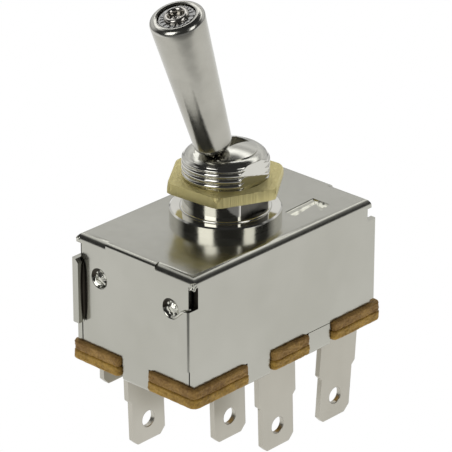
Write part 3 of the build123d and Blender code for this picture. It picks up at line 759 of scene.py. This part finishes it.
def addStake(name, s, sx, sy):
    # depth by share of the radius: a low crest, a moat, then a rise to the rim, with four folds pinched in;
    # the upper part of the wall, turned from the camera's lights, gets a near-black finish: painted shade
    stakeZ = caseTop / mm - s["stakeDrop"]
    a = np.linspace(0, 2 * pi, s["columns"], endpoint=False)[None]
    t = np.linspace(0.04, 1.0, s["rings"])[:, None]
    moat = s["stakeCrest"] + (s["stakeDeep"] - s["stakeCrest"]) * smoothStep(0.12, 0.55, t)
    h = -moat + (s["stakeDeep"] - 0.01) * smoothStep(0.70, 1.0, t)
    folded = smoothStep(0.1, 0.5, t) * (1 - smoothStep(0.75, 0.95, t))
    h = h + s["stakeFold"] * np.cos(4 * a + 1.0 + 2.0 * t + sy) * folded
    h = h + s["stakeRough"] * unevenness((s["columns"], s["rings"]), (9, 5), 40 + sx + 2 * sy).T * (t < 0.95) * t
    h = np.minimum(h, -0.005)
    r = s["stakeReach"] * t + 0 * a
    y = sy * s["stakeY"] + r * np.cos(a)
    z = stakeZ + r * np.sin(a)
    front = np.stack([sx * (s["end"] + h), y, z], -1)
    back = np.stack([sx * (s["end"] - s["stakeBack"]) + 0 * a, sy * s["stakeY"] + s["stakeBackReach"] * np.cos(a),
                     stakeZ + s["stakeBackReach"] * np.sin(a)], -1)
    rows = np.concatenate([front, back])[:: -sx]
    obj = addLathe(name, rows * mm, "housing", "stake", wrapRows=False, poles=True, angle=70.0)
    obj.data.materials.append(materials["paintedShade"])
    centre = np.empty(len(obj.data.polygons) * 3, dtype=np.float32)
    obj.data.polygons.foreach_get("center", centre)
    across = centre[1::3] / mm - sy * s["stakeY"]
    above = centre[2::3] / mm - stakeZ
    # painted shade: the upper part of each stake's wall takes the near-black finish
    wall = np.hypot(across, above) > s["wallFrom"] * s["stakeReach"]
    wall &= 0.5 * across + 0.87 * above > s["wallAbove"]
    obj.data.polygons.foreach_set("material_index", wall.astype(np.int32))


def addLump(name, centre, size, seed, rough=0.35, finish="stake"):
    # an egg whose radius is changed by smooth random folds
    a = np.linspace(0, 2 * pi, 36, endpoint=False)[None]
    b = np.linspace(-pi / 2, pi / 2, 20)[1:-1, None]
    k = 1 - rough * (0.5 + 0.5 * unevenness((36, 18), (7, 6), seed).T)
    x = centre[0] + size[0] * k * np.cos(b) * np.cos(a)
    y = centre[1] + size[1] * k * np.cos(b) * np.sin(a)
    z = centre[2] + size[2] * k * np.sin(b) + 0 * a
    rows = np.stack([x, y, z], -1) * mm
    addLathe(name, rows, "housing", finish, wrapRows=False, poles=True, angle=80.0)


lumps = {
    "cornerCrumpleNear": ((-17.98, -11.03, -2.45), (0.70, 0.62, 0.66), 3, 0.5),
    "cornerCrumpleFar": ((-17.42, 10.62, -2.42), (0.55, 0.50, 0.50), 8, 0.5),
    "bendCrease": ((-17.60, -3.95, -2.42), (0.24, 0.32, 0.26), 21, 0.4),
    # a near-black egg beside the far tab: painted shade in the gap and painted reflection of the tab's edge
    "paintedTabShade": ((-17.90, 9.42, -9.86), (0.26, 0.22, 4.6), 31, 0.15, "paintedShade"),
}

curl = {
    "route": [(-17.68, -7.45, -8.15), (-17.80, -8.22, -7.48), (-17.86, -8.96, -6.72), (-17.88, -9.55, -6.60),
              (-17.88, -10.07, -6.70), (-17.84, -10.60, -6.32), (-17.70, -10.85, -6.02)],
    "thick": (0.10, 0.19), "around": 14, "steps": 60,
}


def addCurl(s):
    # a round section carried along a smooth route, thickest at its middle and uneven along it
    route = np.array(s["route"])
    at = np.linspace(0, len(route) - 1, s["steps"])
    wide = np.pad(route, ((2, 2), (0, 0)), mode="edge")
    raw = np.stack([np.interp(at, np.arange(-2, len(route) + 2), wide[:, k]) for k in range(3)], 1)
    line = np.stack([np.convolve(np.pad(raw[:, k], 4, mode="edge"), np.ones(9) / 9, "valid") for k in range(3)], 1)
    along = np.gradient(line, axis=0)
    along /= np.linalg.norm(along, axis=1)[:, None]
    side = np.cross(along, (0.2, 0.3, 1.0))
    side /= np.linalg.norm(side, axis=1)[:, None]
    up = np.cross(side, along)
    share = np.linspace(0, 1, s["steps"])
    thin, thick = s["thick"]
    r = thin + (thick - thin) * np.sin(pi * share) * (0.8 + 0.4 * unevenness((s["steps"], 2), (9, 2), 4)[:, 0])
    a = np.linspace(0, 2 * pi, s["around"], endpoint=False)
    ring = side[:, None] * np.cos(a)[None, :, None] + up[:, None] * np.sin(a)[None, :, None]
    rows = line[:, None] + r[:, None, None] * ring
    obj = addLathe("tabCurl", rows * mm, "housing", "stake", wrapRows=False, poles=True, angle=80.0)
    turnOutward(obj)


darkenSlots(bpy.data.objects["case.skin"], caseEnds)
for sx in (-1, 1):
    for sy in (-1, 1):
        addStake("stake" + "LR"[sx > 0] + "NF"[sy > 0], caseEnds, sx, sy)
for name, lump in lumps.items():
    addLump(name, *lump)
addCurl(curl)

hook = {
    "floor": 0.449, "deepest": 0.445, "uneven": 0.018, "across": 25, "along": 25,
    "stroke": {"far": ((6.24, -5.34), (12.16, -5.05)), "near": ((6.04, -7.16), (11.02, -6.47)),
               "depth": [(0.0, 0.01), (0.06, 0.13), (0.42, 0.13), (0.97, 0.42), (1.0, 0.44)], "seed": 61},
    "barb": {"far": ((12.16, -5.06), (12.16, -7.96)), "near": ((11.02, -6.47), (9.66, -8.68)),
             "depth": [(0.0, 0.02), (0.10, 0.20), (0.45, 0.42), (0.80, 0.42), (1.0, 0.25)], "seed": 62},
}


def addHookPart(name, s):
    # the floor of the pressed mark: straight lines between two edges, with its depth read across them
    u = np.linspace(0, 1, hook["along"])[:, None, None]
    v = np.linspace(0, 1, hook["across"])[None, :, None]
    far = np.array(s["far"][0]) * (1 - u) + np.array(s["far"][1]) * u
    near = np.array(s["near"][0]) * (1 - u) + np.array(s["near"][1]) * u
    plan = far * (1 - v) + near * v
    stops = np.array(s["depth"])
    depth = np.interp(v[0, :, 0], stops[:, 0], stops[:, 1])[None] + 0 * u[..., 0]
    depth = np.minimum(depth + hook["uneven"] * unevenness(depth.shape, (7, 6), s["seed"]), hook["deepest"])
    top = np.concatenate([plan, caseTop / mm - depth[..., None]], -1)
    foot = np.concatenate([plan, np.full_like(plan[..., :1], caseTop / mm - hook["floor"])], -1)
    points = np.concatenate([top.reshape(-1, 3), foot.reshape(-1, 3)]) * mm
    rows, columns = depth.shape
    half = rows * columns
    faces = gridFaces(rows, columns, wrapColumns=False)
    faces += [f[::-1] for f in gridFaces(rows, columns, wrapColumns=False, start=half)]
    number = np.arange(half).reshape(rows, columns)
    rim = np.concatenate([number[0, :-1], number[:-1, -1], number[-1, :0:-1], number[:0:-1, 0]]).tolist()
    faces += [(b, a, a + half, b + half) for a, b in zip(rim, rim[1:] + rim[:1])]
    turnOutward(addPiece(name, points, faces, "housing", "pressed", 50.0))


addHookPart("hookStroke", hook["stroke"])
addHookPart("hookBarb", hook["barb"])
print("case details made")


# Studio: a glowing white floor that ends in front of the part, a pale sweep behind with a strip light over it,
# and two soft boxes beside the camera

studio = {
    "floorHalf": 6.0,
    "floorGlow": 1.0,
    "floorFar": 0.25,
    "floorFade": (0.22, 0.50),
    "floorFront": (0.045, 0.065),
    "floorDim": 0.22,
    "dark": 0.035,
    "sweep": [(0.0, 0.62), (0.30, 0.68), (0.40, 0.92), (0.45, 0.92), (0.50, 0.60), (0.60, 0.42), (0.66, 1.9),
              (0.74, 1.9), (0.80, 0.05), (1.0, 0.02)],
    "sweepSides": (0.05, 0.45),
    "boxes": [
        {"turn": -41.0, "rise": 26.0, "far": 0.9, "size": (0.46, 0.62), "glow": 2.6},
        {"turn": 49.0, "rise": 26.0, "far": 0.9, "size": (0.34, 0.62), "glow": 1.9},
    ],
}


def addFloor(s):
    half = s["floorHalf"]
    verts = [(-half, -half, floorZ), (half, -half, floorZ), (half, half, floorZ), (-half, half, floorZ)]
    floor = addMesh("floor", verts, [(0, 1, 2, 3)], smooth=False)
    mat, tree, shader = newMaterial("paleFloor")
    shader.inputs["Base Color"].default_value = (0.0, 0.0, 0.0, 1)
    shader.inputs["Roughness"].default_value = 1.0
    shader.inputs["Specular IOR Level"].default_value = 0.0
    away = tree.nodes.new("ShaderNodeVectorMath")
    away.operation = "LENGTH"
    tree.links.new(objectPlace(tree, scale=(1, 1, 0)), away.inputs[0])
    fade = tree.nodes.new("ShaderNodeMapRange")
    fade.inputs["From Min"].default_value, fade.inputs["From Max"].default_value = s["floorFade"]
    fade.inputs["To Min"].default_value, fade.inputs["To Max"].default_value = s["floorGlow"], s["floorFar"]
    tree.links.new(away.outputs["Value"], fade.inputs["Value"])
    # the paper ends a little in front of the part, below the picture
    toward = tree.nodes.new("ShaderNodeVectorMath")
    toward.operation = "DOT_PRODUCT"
    toward.inputs[1].default_value = Vector((cameraWay.x, cameraWay.y, 0.0)).normalized()
    tree.links.new(objectPlace(tree), toward.inputs[0])
    front = tree.nodes.new("ShaderNodeMapRange")
    front.inputs["From Min"].default_value, front.inputs["From Max"].default_value = s["floorFront"]
    front.inputs["To Min"].default_value, front.inputs["To Max"].default_value = 1.0, s["floorDim"]
    tree.links.new(toward.outputs["Value"], front.inputs["Value"])
    glow = tree.nodes.new("ShaderNodeMath")
    glow.operation = "MULTIPLY"
    tree.links.new(fade.outputs["Result"], glow.inputs[0])
    tree.links.new(front.outputs["Result"], glow.inputs[1])
    shader.inputs["Emission Color"].default_value = (1.0, 1.0, 1.0, 1)
    tree.links.new(glow.outputs[0], shader.inputs["Emission Strength"])
    giveMaterial(floor, mat)


def addBoxes(s):
    base = radians(cameraSettings["azimuth"])
    for i, b in enumerate(s["boxes"]):
        a, e = base + radians(b["turn"]), radians(b["rise"])
        way = Vector((sin(a) * cos(e), -cos(a) * cos(e), sin(e)))
        data = bpy.data.lights.new("softBox" + str(i), "AREA")
        data.shape = "RECTANGLE"
        data.size, data.size_y = b["size"]
        data.energy = b["glow"] * pi * data.size * data.size_y
        light = bpy.data.objects.new("softBox" + str(i), data)
        light.location = way * b["far"]
        light.rotation_euler = way.to_track_quat("Z", "Y").to_euler()
        bpy.context.scene.collection.objects.link(light)


def addSky(s):
    # brightness by height of the direction, only on the side away from the camera
    world = bpy.data.worlds.new("studioSky")
    bpy.context.scene.world = world
    world.use_nodes = True
    tree = world.node_tree
    tree.nodes.clear()
    out = tree.nodes.new("ShaderNodeOutputWorld")
    back = tree.nodes.new("ShaderNodeBackground")
    coord = tree.nodes.new("ShaderNodeTexCoord")
    dot = tree.nodes.new("ShaderNodeVectorMath")
    dot.operation = "DOT_PRODUCT"
    behind = Vector((-cameraWay.x, -cameraWay.y, 0.0)).normalized()
    dot.inputs[1].default_value = behind
    tree.links.new(coord.outputs["Generated"], dot.inputs[0])
    split = tree.nodes.new("ShaderNodeSeparateXYZ")
    tree.links.new(coord.outputs["Generated"], split.inputs[0])
    side = ramp(tree, dot.outputs["Value"], [(at, (v,) * 3) for at, v in zip(s["sweepSides"], (0.0, 1.0))])
    glow = ramp(tree, split.outputs["Z"], [(z, (v,) * 3) for z, v in s["sweep"]])
    mix = tree.nodes.new("ShaderNodeMix")
    mix.data_type = "RGBA"
    mix.inputs["A"].default_value = (s["dark"],) * 3 + (1,)
    tree.links.new(side, mix.inputs["Factor"])
    tree.links.new(glow, mix.inputs["B"])
    tree.links.new(mix.outputs["Result"], back.inputs["Color"])
    tree.links.new(back.outputs[0], out.inputs[0])


addFloor(studio)
addBoxes(studio)
addSky(studio)
bpy.context.scene.view_settings.view_transform = "Standard"
print("studio lit")
